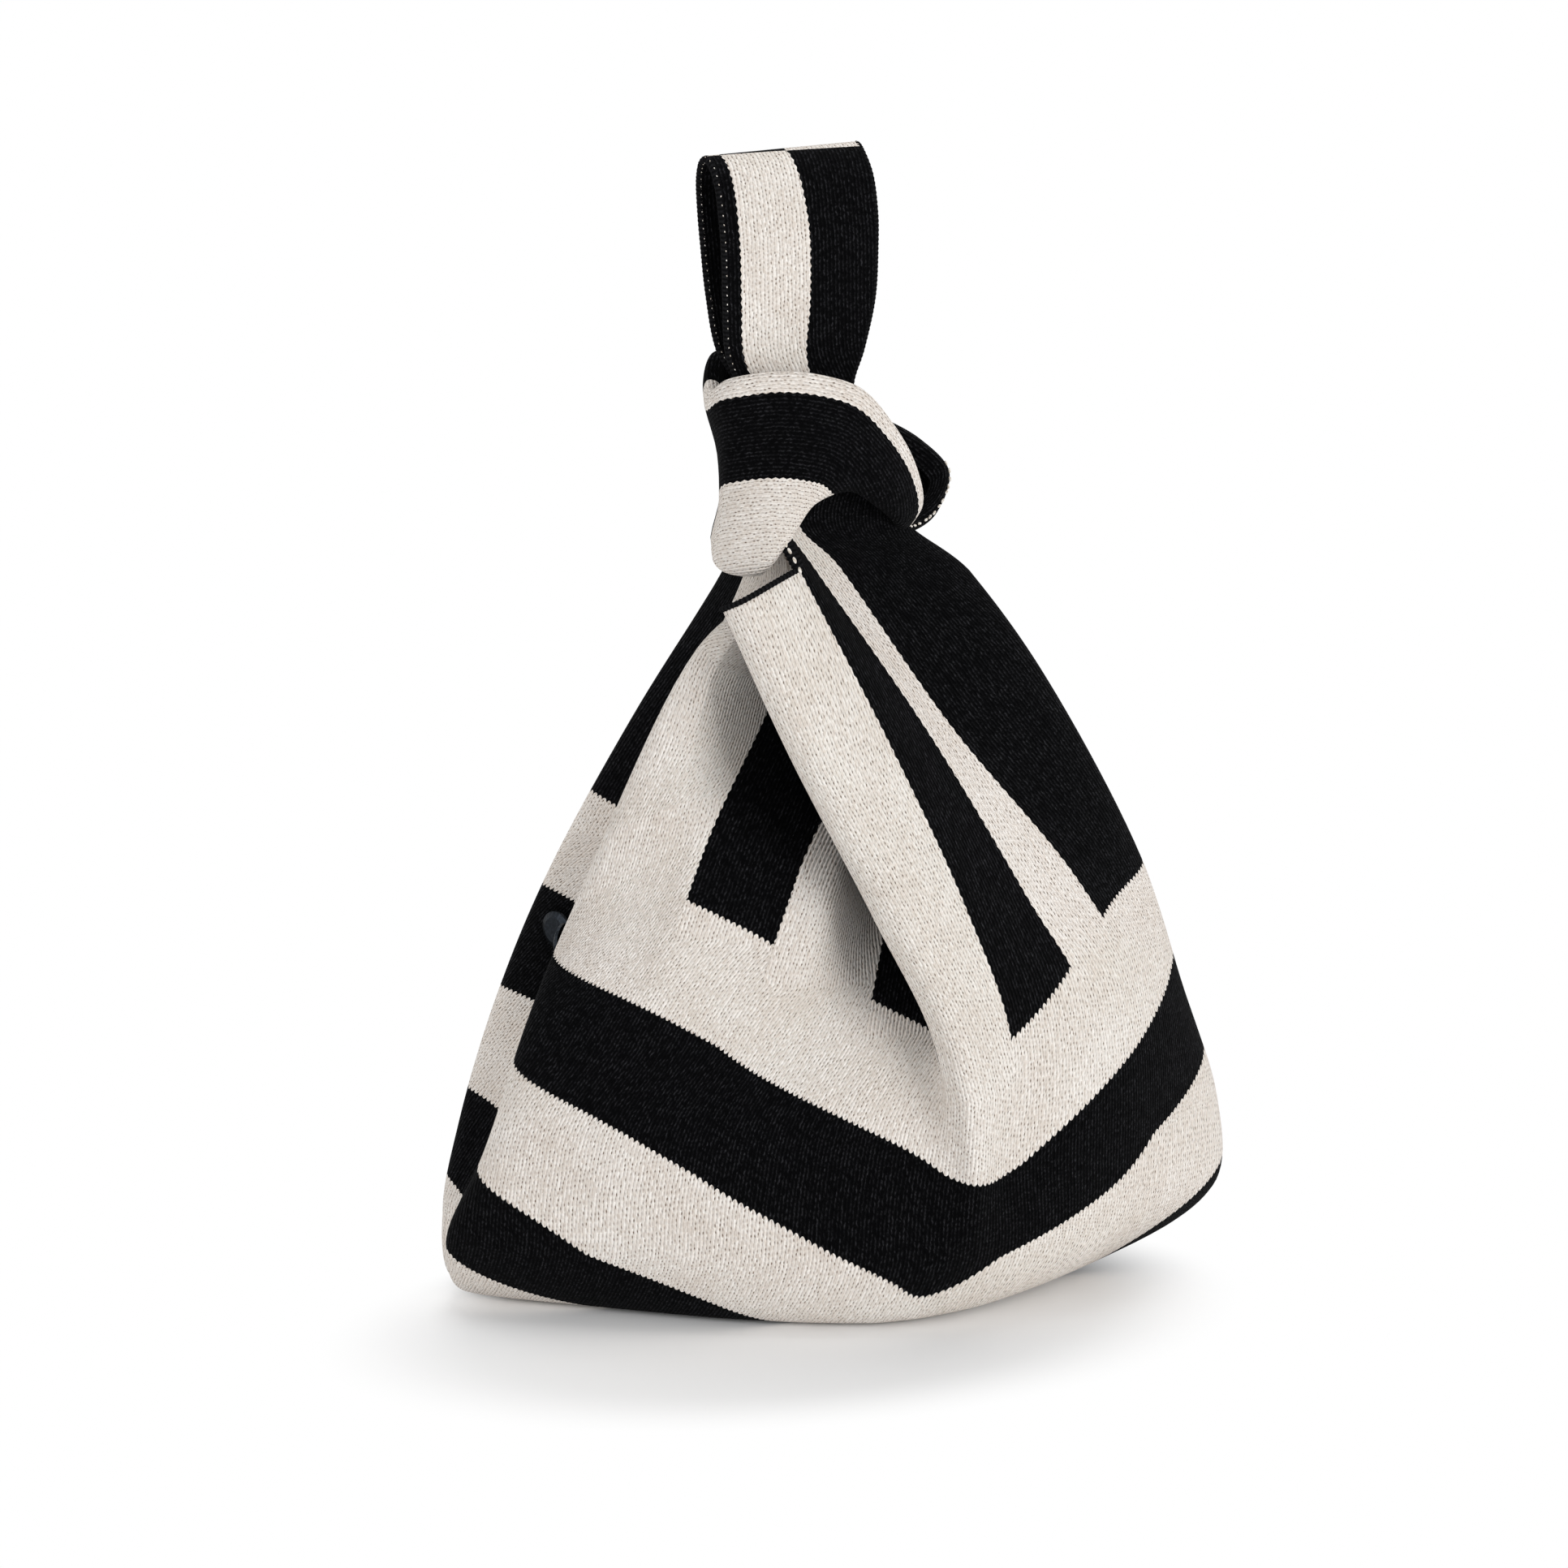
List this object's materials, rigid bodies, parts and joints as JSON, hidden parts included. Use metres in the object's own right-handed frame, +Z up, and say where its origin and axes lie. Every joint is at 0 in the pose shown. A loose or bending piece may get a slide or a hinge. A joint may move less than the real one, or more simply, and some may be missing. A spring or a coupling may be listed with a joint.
{
  "type": "knitted knot bag",
  "caption": "Soft knitted wrist bag standing on its base, its long handle drawn through a short loop that knots the mouth shut.",
  "frame": {"origin": "on the flat underside of the bag, at the middle of its width", "axes": "+Z up through the handle, +X along the base to the right as seen from the front, +Y to the back"},
  "size_m": [0.2226, 0.1312, 0.3205],
  "materials": {
    "striped_knit": "double-bed knit in cream and black stripes",
    "black_hem": "rolled knit edge with small cream stitches",
    "snap_metal": "dark plated, satin"
  },
  "bodies": {
    "bag": {"front_panel": "striped_knit", "back_panel": "striped_knit", "front_neck_hem": "black_hem", "back_neck_hem": "black_hem", "left_side_seam": "black_hem", "right_side_seam": "black_hem", "base_seam": "black_hem", "short_loop_front": "striped_knit", "short_loop_back": "striped_knit", "short_loop_seam": "black_hem", "short_loop_front_hem": "black_hem", "short_loop_back_hem": "black_hem", "short_loop_front_leg": "striped_knit", "short_loop_back_leg": "striped_knit", "left_front_snap_cap": "snap_metal", "left_front_snap_plate": "snap_metal", "left_back_snap_cap": "snap_metal", "left_back_snap_plate": "snap_metal", "right_front_snap_cap": "snap_metal", "right_front_snap_plate": "snap_metal", "right_back_snap_cap": "snap_metal", "right_back_snap_plate": "snap_metal"},
    "strap": {"long_strap_neck": "striped_knit"},
    "handle": {"handle_gather": "striped_knit", "handle_front_leg": "striped_knit", "handle_front_left_hem": "black_hem", "handle_front_right_hem": "black_hem", "handle_back_leg": "striped_knit", "handle_back_right_hem": "black_hem", "handle_back_left_hem": "black_hem", "handle_top_seam": "black_hem"}
  },
  "joints": [
    {"name": "strap_slip", "type": "slide", "parent": "bag", "child": "strap", "axis": [0, 0, 1], "range_m": [0, 0.01]},
    {"name": "handle_flop", "type": "hinge", "parent": "strap", "child": "handle", "pos_m": [-0.016, 0, 0.264], "axis": [1, 0, 0], "range_deg": [-60, 60]}
  ]
}
